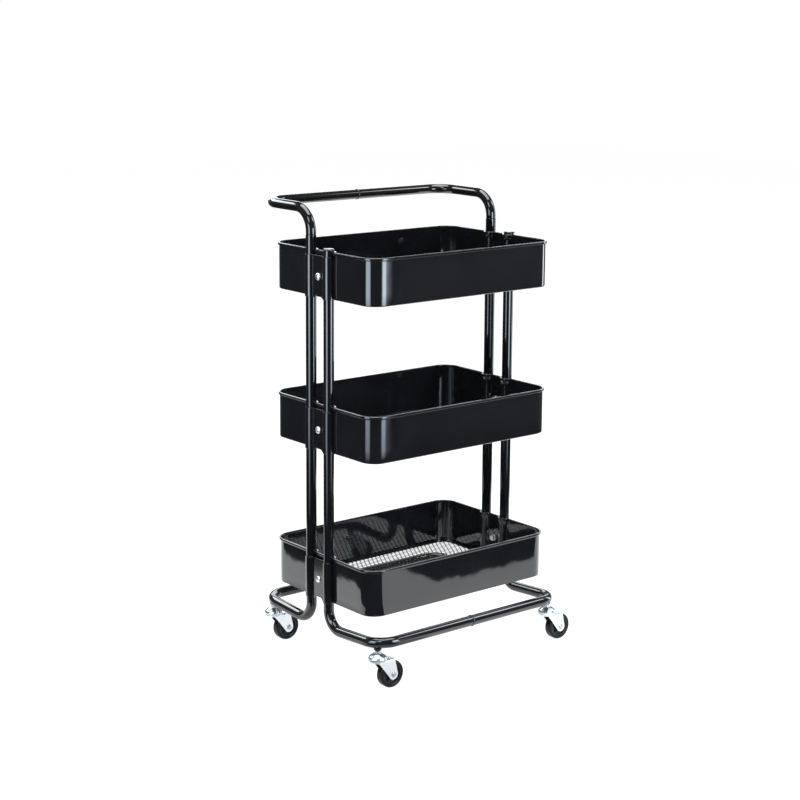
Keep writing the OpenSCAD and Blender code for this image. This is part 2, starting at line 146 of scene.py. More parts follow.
# ------------------------------------------------------------ shape helpers
def sweep(rings, segments):
    """Skin over rings of (centre, tangent, up, radius). Radius 0 makes a pole."""
    verts, faces, loops = [], [], []
    for centre, tangent, up, radius in rings:
        centre, tangent, up = Vector(centre), Vector(tangent).normalized(), Vector(up)
        side = tangent.cross(up).normalized()
        square_up = side.cross(tangent).normalized()
        if radius <= 1e-9:
            loops.append([len(verts)])
            verts.append(centre)
            continue
        loops.append(list(range(len(verts), len(verts) + segments)))
        for k in range(segments):
            angle = 2 * math.pi * k / segments
            verts.append(centre + radius * (math.cos(angle) * side + math.sin(angle) * square_up))
    for near, far in zip(loops, loops[1:]):
        for k in range(segments):
            k2 = (k + 1) % segments
            if len(near) == 1:
                faces.append((near[0], far[k2], far[k]))
            elif len(far) == 1:
                faces.append((near[k], near[k2], far[0]))
            else:
                faces.append((near[k], near[k2], far[k2], far[k]))
    return verts, faces


def lathe(profile, segments, axis="Z", centre=(0, 0, 0)):
    """Revolved skin of (radius, height) points in mm, about an axis through centre (m)."""
    along = {"Z": Vector((0, 0, 1)), "Y": Vector((0, 1, 0)), "X": Vector((1, 0, 0))}[axis]
    up = Vector((1, 0, 0)) if axis != "X" else Vector((0, 0, 1))
    centre = Vector(centre)
    return sweep([(centre + along * height * MM, along, up, radius * MM)
                  for radius, height in profile], segments)


def ring_lathe(profile, segments, axis):
    """Lathe whose profile closes on itself, round the origin."""
    verts, faces = lathe(profile, segments, axis)
    last = (len(profile) - 1) * segments
    for k in range(segments):
        k2 = (k + 1) % segments
        faces.append((last + k, last + k2, k2, k))
    return verts, faces


def join(parts):
    verts, faces = [], []
    for part_verts, part_faces in parts:
        start = len(verts)
        verts += list(part_verts)
        faces += [tuple(i + start for i in face) for face in part_faces]
    return verts, faces


def mirror(part, x_sign, y_sign=1):
    verts, faces = part
    verts = [Vector((v[0] * x_sign, v[1] * y_sign, v[2])) for v in verts]
    if x_sign * y_sign < 0:
        faces = [tuple(reversed(face)) for face in faces]
    return verts, faces


def move(part, offset):
    return [v + offset for v in part[0]], part[1]


def round_corners(rows, steps=4):
    """Open polyline from rows of (a, b, corner radius), each corner turned into an arc."""
    points = [row[:2] for row in rows]
    out = [points[0]]
    for i in range(1, len(rows) - 1):
        before, corner, after = (np.array(points[j], float) for j in (i - 1, i, i + 1))
        radius = rows[i][2]
        if radius <= 0:
            out.append(tuple(corner))
            continue
        back, ahead = before - corner, after - corner
        back_length, ahead_length = np.linalg.norm(back), np.linalg.norm(ahead)
        back, ahead = back / back_length, ahead / ahead_length
        half = math.acos(float(back @ ahead)) / 2
        # the arc may take up to just under half of each side
        cut = min(radius / math.tan(half), 0.49 * back_length, 0.49 * ahead_length)
        radius = cut * math.tan(half)
        inward = (back + ahead) / np.linalg.norm(back + ahead)
        centre = corner + inward * (radius / math.sin(half))
        start, end = corner + back * cut, corner + ahead * cut
        angle0 = math.atan2(*(start - centre)[::-1])
        angle1 = math.atan2(*(end - centre)[::-1])
        turn = (angle1 - angle0 + math.pi) % (2 * math.pi) - math.pi
        for k in range(steps + 1):
            angle = angle0 + turn * k / steps
            out.append((centre[0] + radius * math.cos(angle), centre[1] + radius * math.sin(angle)))
    out.append(points[-1])
    return [(float(a), float(b)) for a, b in out]


def with_mirror(half, middle=()):
    """Rows of (radius, height, corner radius), then the same rows mirrored in height."""
    return [*half, *middle, *((radius, -height, corner) for radius, height, corner in reversed(half))]


# --------------------------------------------------------- material helpers
def set_inputs(tree, node, inputs):
    """Sets each input to its value, or links it when the value is a socket."""
    for key, value in inputs.items():
        if isinstance(value, bpy.types.NodeSocket):
            tree.links.new(value, node.inputs[key])
        else:
            node.inputs[key].default_value = value


def add_node(tree, kind, inputs=None):
    node = tree.nodes.new("ShaderNode" + kind)
    set_inputs(tree, node, inputs or {})
    return node


def principled(name):
    material = bpy.data.materials.new(name)
    material.use_nodes = True
    tree = material.node_tree
    for node in list(tree.nodes):
        if node.type != "OUTPUT_MATERIAL":
            tree.nodes.remove(node)
    output = tree.nodes[0]
    shader = add_node(tree, "BsdfPrincipled")
    tree.links.new(shader.outputs[0], output.inputs[0])
    return material, tree, shader


def texture(tree, kind, **inputs):
    """Texture in object coordinates."""
    coords = add_node(tree, "TexCoord")
    return add_node(tree, kind, {"Vector": coords.outputs["Object"], **inputs})


def color_ramp(tree, source, stops):
    node = add_node(tree, "ValToRGB", {0: source})
    elements = node.color_ramp.elements
    for i in (0, -1):
        elements[i].position, elements[i].color = stops[i]
    for position, color in stops[1:-1]:
        elements.new(position).color = color
    return node.outputs[0]


def map_range(tree, source, from_range, to_range, smooth=False):
    node = add_node(tree, "MapRange", {0: source, 1: from_range[0], 2: from_range[1],
                                       3: to_range[0], 4: to_range[1]})
    if smooth:
        node.interpolation_type = "SMOOTHSTEP"
    return node.outputs[0]


def bump(tree, height, strength, distance, **inputs):
    return add_node(tree, "Bump", {"Strength": strength, "Distance": distance,
                                   "Height": height, **inputs}).outputs[0]


def shade(color, factor):
    return tuple(c * factor for c in color) + (1,)


def grey(level):
    return (level, level, level, 1)


# ---------------------------------------------------------------- materials
def powder(name, base, rough, peel, peel_scale, dent, fleck=0.0):
    """Gloss powder coat. peel: strength of the orange peel; dent: of the slow waviness;
    fleck: strength of the pale dust flecks."""
    material, tree, shader = principled(name)
    fine = texture(tree, "TexNoise", Scale=peel_scale, Detail=2.0, Roughness=0.5)
    slow = texture(tree, "TexNoise", Scale=26.0, Detail=1.5, Roughness=0.45)
    patch = texture(tree, "TexNoise", Scale=9.0, Detail=5.0, Roughness=0.6).outputs["Fac"]
    speck = texture(tree, "TexVoronoi", Scale=900.0)
    roughness = map_range(tree, patch, (0.3, 0.7), (rough * 0.8, rough * 1.3))
    color = color_ramp(tree, patch, [(0.3, shade(base, 0.75)), (0.75, shade(base, 1.35))])
    dust = color_ramp(tree, speck.outputs["Distance"], [(0.0, grey(1.0)), (0.06, grey(0.0))])
    mix = add_node(tree, "Mix")
    mix.data_type = "RGBA"
    set_inputs(tree, mix, {"Factor": map_range(tree, dust, (0.0, 1.0), (0.0, fleck)),
                           "A": color, "B": (0.06, 0.06, 0.065, 1)})
    waves = bump(tree, slow.outputs["Fac"], strength=dent, distance=0.004)
    peel_bump = bump(tree, fine.outputs["Fac"], strength=peel, distance=0.0004, Normal=waves)
    set_inputs(tree, shader, {
        "Roughness": roughness, "Base Color": mix.outputs["Result"], "Normal": peel_bump,
        "IOR": 1.5, "Specular IOR Level": 0.5,
        "Coat Weight": 0.25, "Coat Roughness": 0.04, "Coat Normal": waves})
    return material


def zinc(name, tint, rough, scale):
    """Zinc plate: slightly cloudy, with fine marks. scale: of the cloudiness."""
    material, tree, shader = principled(name)
    cloud = texture(tree, "TexNoise", Scale=scale, Detail=6.0, Roughness=0.62).outputs["Fac"]
    fine = texture(tree, "TexNoise", Scale=1600.0, Detail=2.0)
    bright = tuple(min(1, c * gain) for c, gain in zip(tint, (1.05, 1.05, 1.06))) + (1,)
    set_inputs(tree, shader, {
        "Base Color": color_ramp(tree, cloud, [(0.3, shade(tint, 0.92)), (0.5, tint + (1,)),
                                               (0.7, bright)]),
        "Metallic": 1.0,
        "Roughness": map_range(tree, cloud, (0.3, 0.7), (rough * 0.85, rough * 1.2)),
        "Normal": bump(tree, fine.outputs["Fac"], strength=0.12, distance=0.0002)})
    return material


def plastic(name, base, rough, grain, depth, specular=0.5):
    """Plastic or rubber. grain: scale of the surface grain; depth: its strength."""
    material, tree, shader = principled(name)
    fine = texture(tree, "TexNoise", Scale=grain, Detail=3.0)
    patch = texture(tree, "TexNoise", Scale=70.0, Detail=4.0).outputs["Fac"]
    set_inputs(tree, shader, {
        "Base Color": color_ramp(tree, patch, [(0.3, shade(base, 0.7)), (0.7, shade(base, 1.5))]),
        "Roughness": map_range(tree, patch, (0.3, 0.7), (rough * 0.8, rough * 1.25)),
        "Normal": bump(tree, fine.outputs["Fac"], strength=depth, distance=0.0003),
        "Specular IOR Level": specular})
    return material


TUBE_COAT = powder("tube_coat", (0.0034, 0.0035, 0.0042), rough=0.07,
                   peel=0.03, peel_scale=300.0, dent=0.02, fleck=0.3)
BASKET_COAT = powder("basket_coat", (0.0058, 0.0059, 0.0070), rough=0.045,
                     peel=0.05, peel_scale=330.0, dent=0.05, fleck=0.25)
MESH_COAT = powder("mesh_coat", (0.0080, 0.0080, 0.0090), rough=0.20,
                   peel=0.10, peel_scale=700.0, dent=0.0)
BRACKET_COAT = powder("bracket_coat", (0.0050, 0.0051, 0.0060), rough=0.12,
                      peel=0.10, peel_scale=380.0, dent=0.03, fleck=0.3)
CASTER_ZINC = zinc("caster_zinc", (0.82, 0.86, 0.88), rough=0.30, scale=60.0)
BOLT_ZINC = zinc("bolt_zinc", (0.90, 0.91, 0.92), rough=0.34, scale=220.0)
CUP_ZINC = zinc("cup_zinc", (0.56, 0.61, 0.64), rough=0.30, scale=140.0)
RIVET_ZINC = zinc("rivet_zinc", (0.40, 0.43, 0.46), rough=0.24, scale=300.0)
BALL_STEEL = zinc("ball_steel", (0.62, 0.62, 0.63), rough=0.12, scale=300.0)
BOSS_COAT = plastic("boss_coat", (0.010, 0.010, 0.011), rough=0.35, grain=600.0, depth=0.1)
CAP_PLASTIC = plastic("cap_plastic", (0.010, 0.010, 0.011), rough=0.12, grain=1100.0, depth=0.05)
HUB_PLASTIC = plastic("hub_plastic", (0.006, 0.006, 0.007), rough=0.26, grain=1000.0,
                      depth=0.2, specular=0.35)
TREAD_RUBBER = plastic("tread_rubber", (0.0028, 0.0028, 0.0032), rough=0.24, grain=800.0,
                       depth=0.22, specular=0.22)


# -------------------------------------------------------------------- tubes
def bent_line(corners, bend_radii, steps=18):
    """(centre, tangent) stations in mm along a polyline with round bends at its inner corners."""
    corners = [Vector(corner) for corner in corners]
    out = [(corners[0], (corners[1] - corners[0]).normalized())]
    for i, radius in enumerate(bend_radii, 1):
        corner = corners[i]
        back = (corners[i - 1] - corner).normalized()
        ahead = (corners[i + 1] - corner).normalized()
        angle = back.angle(ahead)
        cut = radius / math.tan(angle / 2)
        centre = corner + (back + ahead).normalized() * (radius / math.sin(angle / 2))
        start, end = corner + back * cut, corner + ahead * cut
        spoke, last_spoke = start - centre, end - centre
        axis = spoke.cross(last_spoke).normalized()
        turn = spoke.angle(last_spoke)
        # a station just outside each end of the bend keeps the straight runs' shading straight
        out.append((start + back * 0.8, -back))
        for k in range(steps + 1):
            turned = Matrix.Rotation(turn * k / steps, 3, axis) @ spoke
            out.append((centre + turned, axis.cross(turned).normalized()))
        out.append((end + ahead * 0.8, ahead))
    out.append((corners[-1], (corners[-1] - corners[-2]).normalized()))
    return out


def tube(corners, bend_radii, outer_r, bore_r, bore_depth=14.0, edge_r=0.35):
    """Round tube along a bent path, with open ends: rounded edge, wall and blind bore."""
    line = bent_line(corners, bend_radii)
    ups = []
    up = Vector((0, 0, 1)) if abs(line[0][1].z) < 0.9 else Vector((0, 1, 0))
    for centre, tangent in line:
        up = (up - tangent * up.dot(tangent)).normalized()
        ups.append(up.copy())
    # (distance in from the tube's end, radius), from the bore's bottom to the outside
    end_rings = [(bore_depth, 0), (bore_depth, bore_r), (edge_r, bore_r), (0, bore_r + edge_r),
                 (0, outer_r - edge_r), (edge_r * 0.3, outer_r - edge_r * 0.3),
                 (edge_r, outer_r), (edge_r + 0.4, outer_r)]
    (first, first_tangent), (last, last_tangent) = line[0], line[-1]
    clear = edge_r * 1.5 + 0.5
    rings = [((first + first_tangent * depth) * MM, first_tangent, ups[0], radius * MM)
             for depth, radius in end_rings]
    for (centre, tangent), up in zip(line, ups):
        if (centre - first).length >= clear and (centre - last).length >= clear:
            rings.append((centre * MM, tangent, up, outer_r * MM))
    rings += [((last - last_tangent * depth) * MM, last_tangent, ups[-1], radius * MM)
              for depth, radius in reversed(end_rings)]
    return sweep(rings, 56)


def frame_tube(top):
    """Right half of the rear frame: base bar, base leg and upright."""
    foot_z = BASE_Z - (BASE_Y - UPRIGHT_Y) * math.tan(FALL)
    corners = [(SEAM_X, BASE_Y, BASE_Z), (UPRIGHT_X, BASE_Y, BASE_Z),
               (UPRIGHT_X, UPRIGHT_Y, foot_z), (UPRIGHT_X, UPRIGHT_Y, top)]
    return tube(corners, (CORNER_R, FOOT_R), TUBE_R, TUBE_BORE_R)


def handle_tube():
    """Right half of the handle, with a swaged plug down into the rear upright."""
    corners = [(SEAM_X, HANDLE_Y, HANDLE_Z), (UPRIGHT_X, HANDLE_Y, HANDLE_Z),
               (UPRIGHT_X, UPRIGHT_Y, HANDLE_Z), (UPRIGHT_X, UPRIGHT_Y, REAR_TOP + 0.4)]
    # (radius, height above the upright's top)
    plug = [(0, -20), (8.15, -20), (8.15, 0.5), (8.4, 1.2), (7.2, 1.5), (0, 1.5)]
    return join([tube(corners, (HANDLE_BEND_R, HANDLE_BEND_R), HANDLE_R, HANDLE_BORE_R),
                 lathe([(radius, REAR_TOP + height) for radius, height in plug], 48,
                       centre=(UPRIGHT_X * MM, UPRIGHT_Y * MM, 0))])


for x_sign, side in SIDES:
    for y_sign, row, top in ((1, "rear", REAR_TOP), (-1, "front", FRONT_TOP)):
        node = f"{row}_frame_{side}"
        add_part(node + "_tube", mirror(frame_tube(top), x_sign, y_sign),
                 TUBE_COAT, "cart", node)
    add_part(f"handle_{side}_tube", mirror(handle_tube(), x_sign),
             TUBE_COAT, "cart", f"handle_{side}")


def seam_collar(name, node, tube_r, y, z):
    """Ring over the seam between two tube halves, on a core that reaches into both."""
    radius, core_r, half_width, core_reach = tube_r + 1.0, tube_r - 1.6, 1.02, 14
    # the edge is a full round, so it catches a glint on each side
    edge = [(radius - 1.0 + math.cos(math.radians(a)), half_width * math.sin(math.radians(a)))
            for a in range(-90, 91, 15)]
    profile = [(0, -core_reach), (core_r, -core_reach), (core_r, -half_width), *edge,
               (core_r, half_width), (core_r, core_reach), (0, core_reach)]
    add_part(name, lathe(profile, 64, "X", (0, y * MM, z * MM)),
             CAP_PLASTIC, "cart", node)


seam_collar("handle_seam_collar", "handle_joiner", HANDLE_R, HANDLE_Y, HANDLE_Z)
seam_collar("front_seam_collar", "base_joiner_front", TUBE_R, -BASE_Y, BASE_Z)
seam_collar("rear_seam_collar", "base_joiner_rear", TUBE_R, BASE_Y, BASE_Z)

# Plug caps on the front uprights: (radius, height above the upright's top, corner radius)
PLUG_CAP = [(0, -11, 0), (8.1, -11, 0.4), (8.1, 0.1, 0), (TUBE_R + 0.7, 0.1, 0.3),
            (TUBE_R + 0.7, 1.7, 0.7), (TUBE_R - 0.6, 3.0, 2.4), (0, 3.5, 0)]
caps = join([lathe(round_corners(PLUG_CAP, 5), 56,
                   centre=(x_sign * UPRIGHT_X * MM, -UPRIGHT_Y * MM, FRONT_TOP * MM))
             for x_sign, side in SIDES])
add_part("upright_plug_caps", caps, CAP_PLASTIC, "cart", "tube_end_caps")


# ------------------------------------------------------------------ baskets
def wall_line(start, end, normal, count):
    """Straight run of the wall outline, its end point left out."""
    return [(start[0] + (end[0] - start[0]) * i / count,
             start[1] + (end[1] - start[1]) * i / count, *normal, 0.0) for i in range(count)]


def wall_arc(centre, radius, from_deg, to_deg, count, side=1.0, groove_from=0.0, groove_to=0.0):
    """Arc of the wall outline, its end point left out. side: -1 where the arc is hollow."""
    out = []
    for i in range(count):
        share = i / count
        angle = math.radians(from_deg + (to_deg - from_deg) * share)
        eased = share * share * (3 - 2 * share)
        out.append((centre[0] + radius * math.cos(angle), centre[1] + radius * math.sin(angle),
                    side * math.cos(angle), side * math.sin(angle),
                    groove_from + (groove_to - groove_from) * eased))
    return out


def basket_outline():
    """Outer wall line (mm), anticlockwise from above: x, y, outward normal x, y, groove weight.
    The groove weight is 1 round an upright and 0 on the plain wall."""
    fillet = 2.2
    end_x, side_y = BASKET_L / 2, BASKET_W / 2
    out_x = UPRIGHT_X - end_x                      # the uprights stand outside the wall line
    reach = math.sqrt((GROOVE_R + fillet) ** 2 - (out_x + fillet) ** 2)
    turn = math.degrees(math.atan2(reach, out_x + fillet))

    def groove(centre_y):
        fillet_x = end_x - fillet
        return (wall_arc((fillet_x, centre_y - reach), fillet, 0, turn, 6, 1.0, 0.0, 1.0)
                + wall_arc((UPRIGHT_X, centre_y), GROOVE_R, 180 + turn, 180 - turn, 16,
                           -1.0, 1.0, 1.0)
                + wall_arc((fillet_x, centre_y + reach), fillet, -turn, 0, 6, 1.0, 1.0, 0.0))

    corner_x, corner_y = end_x - BASKET_CORNER_R, side_y - BASKET_CORNER_R
    out = (1, 0)
    half = (wall_line((end_x, -corner_y), (end_x, -UPRIGHT_Y - reach), out, 8)
            + groove(-UPRIGHT_Y)
            + wall_line((end_x, -UPRIGHT_Y + reach), (end_x, UPRIGHT_Y - reach), out, 6)
            + groove(UPRIGHT_Y)
            + wall_line((end_x, UPRIGHT_Y + reach), (end_x, corner_y), out, 8)
            + wall_arc((corner_x, corner_y), BASKET_CORNER_R, 0, 90, 18)
            + wall_line((corner_x, side_y), (-corner_x, side_y), (0, 1), 24)
            + wall_arc((-corner_x, corner_y), BASKET_CORNER_R, 90, 180, 18))
    # the other half is this one turned half round
    return half + [(-x, -y, -nx, -ny, weight) for x, y, nx, ny, weight in half]


OUTLINE = basket_outline()


def inside_outline(x, y, inset, groove_gap):
    """True inside the outline drawn in by inset, and clear of the grooves by groove_gap."""
    x, y = abs(x), abs(y)
    half_x, half_y, radius = BASKET_L / 2 - inset, BASKET_W / 2 - inset, BASKET_CORNER_R - inset
    if x > half_x or y > half_y:
        return False
    past_x, past_y = x - half_x + radius, y - half_y + radius
    if past_x > 0 and past_y > 0 and math.hypot(past_x, past_y) > radius:
        return False
    return math.hypot(x - UPRIGHT_X, y - UPRIGHT_Y) > GROOVE_R + groove_gap


def flange_point(x, y):
    """Point of the flange's inner edge on the ray from the middle through (x, y)."""
    low, high = 0.3, 1.0
    for _ in range(26):
        share = (low + high) / 2
        if inside_outline(x * share, y * share, FLANGE, FLANGE - 5):
            low = share
        else:
            high = share
    return x * low, y * low


FLANGE_EDGE = [flange_point(point[0], point[1]) for point in OUTLINE]


def basket_section():
    """Section of the sheet as (offset outward, height, groove share): the outside going up,
    over the rolled rim, and the inside going down."""
    wall = [(BASKET_H * 0.3, 0.0), (BASKET_H * 0.6, 0.0), (BASKET_H - 13.0, 0.0),
            (BASKET_H - 9.0, 0.25), (BASKET_H - 6.6, 0.75), (BASKET_H - 5.4, 0.95)]
    outer_r, inner_r = 2.6, 1.6                    # radii of the bottom bend
    bead_r, bead_z, bead_half = 1.55, BASKET_H - 2.6, 2.55
    section = []
    for k in range(5, 0, -1):
        angle = math.radians(90 * k / 5)
        section.append((-outer_r * (1 - math.cos(angle)), outer_r * (1 - math.sin(angle)), 0.0))
    section += [(-0.15, 2.6, 0.0), (0.0, 3.4, 0.0)]
    section += [(0.0, height, share) for height, share in wall]
    section.append((0.25, BASKET_H - 5.0, 1.0))
    for degrees in range(-80, 91, 17):             # underside of the bead, its belly and top
        angle = math.radians(degrees)
        spread = (bead_half - bead_r) * (1 if degrees > 0 else -1) * min(1, abs(degrees) / 20.0)
        section.append((RIM_OUT - bead_r + bead_r * math.cos(angle),
                        bead_z + spread + bead_r * math.sin(angle), 1.0))
    section += [(0.4, BASKET_H - 0.02, 1.0), (-0.1, BASKET_H - 0.04, 1.0),
                (-0.62, BASKET_H - 0.25, 1.0), (-0.95, BASKET_H - 0.75, 1.0),
                (-BASKET_T, BASKET_H - 1.6, 1.0)]
    section += [(-BASKET_T, height, share) for height, share in reversed(wall)]
    section += [(-BASKET_T, 4.0, 0.0), (-BASKET_T, 2.7, 0.0)]
    for k in range(1, 5):
        angle = math.radians(90 * k / 4)
        section.append((-BASKET_T - inner_r * (1 - math.cos(angle)),
                        1.1 + inner_r * (1 - math.sin(angle)), 0.0))
    return section


def basket_shell(rim_top):
    bottom = rim_top - BASKET_H
    verts = []
    for offset, height, share in basket_section():
        for x, y, nx, ny, weight in OUTLINE:
            out = offset - share * weight * RIM_OUT    # the rim is flattened in the grooves
            verts.append(Vector(((x + nx * out) * MM, (y + ny * out) * MM,
                                 (bottom + height) * MM)))
    # inner edge of the flange, from the top down: (height, shift outward)
    for height, shift in ((1.0, 0.0), (0.62, -0.35), (0.3, -0.35), (0.02, 0.0)):
        for x, y in FLANGE_EDGE:
            scale = 1 + shift / math.hypot(x, y)
            verts.append(Vector((x * scale * MM, y * scale * MM, (bottom + height) * MM)))
    faces = []
    count = len(OUTLINE)
    for row in range(0, len(verts), count):
        next_row = (row + count) % len(verts)
        for k in range(count):
            k2 = (k + 1) % count
            faces.append((row + k, row + k2, next_row + k2, next_row + k))
    return verts, faces


for name in BASKETS:
    add_part(name + "_basket_shell", basket_shell(RIM_TOP[name]),
             BASKET_COAT, "cart", name + "_basket", sharp=50)


# ------------------------------------------------------------- mesh floors
def diamond_openings(inset):
    """Staggered diamonds with cut points, each wholly inside the outline drawn in by inset."""
    pitch_x, pitch_y, strand = 9.6, 16.6, 1.25
    slope = math.radians(60)
    half_x = (pitch_x * math.sin(slope) - strand) / (2 * math.sin(slope))
    half_y = half_x * math.tan(slope)
    point_cut = 0.16                               # share of each side cut off at a +-Y point
    corners = [(half_x, 0), (0, half_y), (-half_x, 0), (0, -half_y)]
    shape = []
    for i in range(4):
        before, corner, after = corners[i - 1], corners[i], corners[(i + 1) % 4]
        cut = point_cut if i % 2 else point_cut * 0.8
        for end in (before, after):
            shape.append((corner[0] + (end[0] - corner[0]) * cut,
                          corner[1] + (end[1] - corner[1]) * cut))
    columns, rows = int(BASKET_L / pitch_x) + 2, int(BASKET_W / pitch_y) + 2
    openings = []
    for i in range(-columns, columns + 1):
        for j in range(-rows, rows + 1):
            if (i + j) % 2 == 0:
                continue
            x, y = i * pitch_x / 2, j * pitch_y / 2
            ring = [(x + point[0], y + point[1]) for point in shape]
            if all(inside_outline(*point, inset, inset) for point in ring):
                openings.append(ring)
    return openings


def mesh_sheet():
    """Expanded-metal sheet: a flat outline with diamond openings, given thickness downward."""
    edge_inset = BASKET_T + 0.45
    outline = [(x - nx * edge_inset, y - ny * edge_inset) for x, y, nx, ny, weight in OUTLINE]
    points, polygons = [], []
    for ring in [outline] + diamond_openings(BASKET_T + 1.25):
        polygons.append(list(range(len(points), len(points) + len(ring))))
        points += [Vector(point) for point in ring]
    flat, _, faces, _, _, sources = delaunay_2d_cdt(points, [], polygons, 4, 1e-6)
    bm = bmesh.new()
    corners = [bm.verts.new((point.x * MM, point.y * MM, 0)) for point in flat]
    for face, source in zip(faces, sources):
        if source != [0]:                          # inside an opening
            continue
        try:
            bm.faces.new([corners[i] for i in face])
        except ValueError:                         # guards against a face given twice
            pass
    loose = [v for v in bm.verts if not v.link_faces]
    bmesh.ops.delete(bm, geom=loose, context="VERTS")
    bmesh.ops.recalc_face_normals(bm, faces=bm.faces)
    if bm.faces and bm.faces[0].normal.z < 0:
        bmesh.ops.reverse_faces(bm, faces=bm.faces)
    extruded = bmesh.ops.extrude_face_region(bm, geom=list(bm.faces), use_keep_orig=True)
    lower = [item for item in extruded["geom"] if isinstance(item, bmesh.types.BMVert)]
    bmesh.ops.translate(bm, verts=lower, vec=(0, 0, -0.75 * MM))
    bmesh.ops.recalc_face_normals(bm, faces=bm.faces)
    mesh = bpy.data.meshes.new("mesh_sheet")
    bm.to_mesh(mesh)
    bm.free()
    mesh.materials.append(MESH_COAT)
    return mesh


SHEET = mesh_sheet()
for name in BASKETS:
    node = name + "_mesh_floor"
    add_object(name + "_floor_mesh", SHEET, "cart", node,
               location=(CENTRE_X, 0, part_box(node)[1].z))


# ---------------------------------------------------------- clamp brackets
BRACKET_H, BRACKET_T = 76.0, 1.5
BRACKET_WEB_X = UPRIGHT_X + 4 - BRACKET_T / 2      # middle of the web between the two uprights


def bracket_path():
    """Middle line of the +X bracket from above, walking -Y, in short steps."""
    wrap_r = TUBE_R + 0.1 + BRACKET_T / 2
    beta = math.acos((BRACKET_WEB_X - UPRIGHT_X) / wrap_r)
    # rows of (x, y, corner radius): flange at the wall, leg, round the tube, into the web
    rows = [(BASKET_L / 2 + 0.15, UPRIGHT_Y + wrap_r, 0), (UPRIGHT_X, UPRIGHT_Y + wrap_r, 0)]
    steps = 20
    for i in range(1, steps + 1):
        angle = math.pi / 2 - (math.pi / 2 + beta) * i / steps
        rows.append((UPRIGHT_X + wrap_r * math.cos(angle), UPRIGHT_Y + wrap_r * math.sin(angle),
                     1.2 if i == steps else 0))
    web_y = UPRIGHT_Y - wrap_r * math.sin(beta)
    rows += [(BRACKET_WEB_X, web_y - 2.0, 0), (BRACKET_WEB_X, 6.0, 0), (BRACKET_WEB_X, 0.0, 0)]
    half = round_corners(rows)
    path = [np.array(point, float)
            for point in half + [(x, -y) for x, y in reversed(half[:-1])]]
    dense = []
    for start, end in zip(path, path[1:]):
        pieces = max(1, int(math.ceil(np.linalg.norm(end - start) / 1.2)))
        dense += [start + (end - start) * i / pieces for i in range(pieces)]
    return dense + [path[-1]]


def bracket(x_sign, rim_top):
    path = bracket_path()
    count, rows = len(path), 26
    run = [0.0]
    for start, end in zip(path, path[1:]):
        run.append(run[-1] + float(np.linalg.norm(end - start)))

    def corner_drop(i, radius):
        """Height lost to the rounded corner at either end of the path."""
        edge = min(run[i], run[-1] - run[i])
        if edge >= radius:
            return 0.0
        return radius - math.sqrt(max(0, radius ** 2 - (radius - edge) ** 2))

    def lower_edge(i):
        x, y = path[i]
        z = corner_drop(i, 6)
        if abs(x - BRACKET_WEB_X) < 0.4 and abs(y) < 11.2:     # arched notch in the web
            z = max(z, math.sqrt(max(0.0, 14 ** 2 - y * y)) - 8.4)
        return z

    verts, faces = [], []
    for side in (1, -1):                           # outboard face, then inboard
        for i in range(count):
            tangent = path[min(count - 1, i + 1)] - path[max(0, i - 1)]
            tangent = tangent / np.linalg.norm(tangent)
            normal = np.array([-tangent[1], tangent[0]])
            if normal[0] < 0 and abs(tangent[1]) > 0.5:
                normal = -normal
            x, y = path[i] + normal * (BRACKET_T / 2 * side)
            low, high = lower_edge(i), BRACKET_H - corner_drop(i, 7)
            for row in range(rows + 1):
                z = low + (high - low) * row / rows
                verts.append(Vector((x * MM, y * MM, (rim_top - BASKET_H + z) * MM)))

    def at(side, i, row):
        return (side * count + i) * (rows + 1) + row

    for i in range(count - 1):
        for r in range(rows):
            faces.append((at(0, i, r), at(0, i + 1, r), at(0, i + 1, r + 1), at(0, i, r + 1)))
            faces.append((at(1, i, r + 1), at(1, i + 1, r + 1), at(1, i + 1, r), at(1, i, r)))
        faces.append((at(0, i, rows), at(0, i + 1, rows), at(1, i + 1, rows), at(1, i, rows)))
        faces.append((at(1, i + 1, 0), at(1, i, 0), at(0, i, 0), at(0, i + 1, 0)))
    last = count - 1
    for r in range(rows):
        faces.append((at(0, 0, r), at(0, 0, r + 1), at(1, 0, r + 1), at(1, 0, r)))
        faces.append((at(1, last, r), at(1, last, r + 1), at(0, last, r + 1), at(0, last, r)))
    return mirror((verts, faces), x_sign)


for name in BASKETS:
    for x_sign, side in SIDES:
        clamp = add_part(f"{name}_clamp_{side}", bracket(x_sign, RIM_TOP[name]), BRACKET_COAT,
                         "cart", f"{name}_bracket_{side}", sharp=40)
        bevel(clamp, 0.0004, 60)

# bolts, washers and nuts keep their shape from the frame
for node in ("bracket_bolts", "bracket_washers", "bracket_nuts"):
    bevel(set_material(node, BOLT_ZINC), 0.00025, 40)


# ------------------------------------------------------------------ casters
# Caster-local mm: z = 0 is the floor, the swivel axis is x = y = 0, the wheel trails to +X.
TRAIL, WHEEL_R, WHEEL_W = 28.0, 25.0, 16.0
HALF_W = WHEEL_W / 2
FORK_T = 2.0
FORK_Y = HALF_W + 0.75 + FORK_T                    # outside of the fork's legs
FORK_TOP = 53.0 + FORK_T
LEG_TIP_R = 9.3                                    # round end of a leg, about the axle

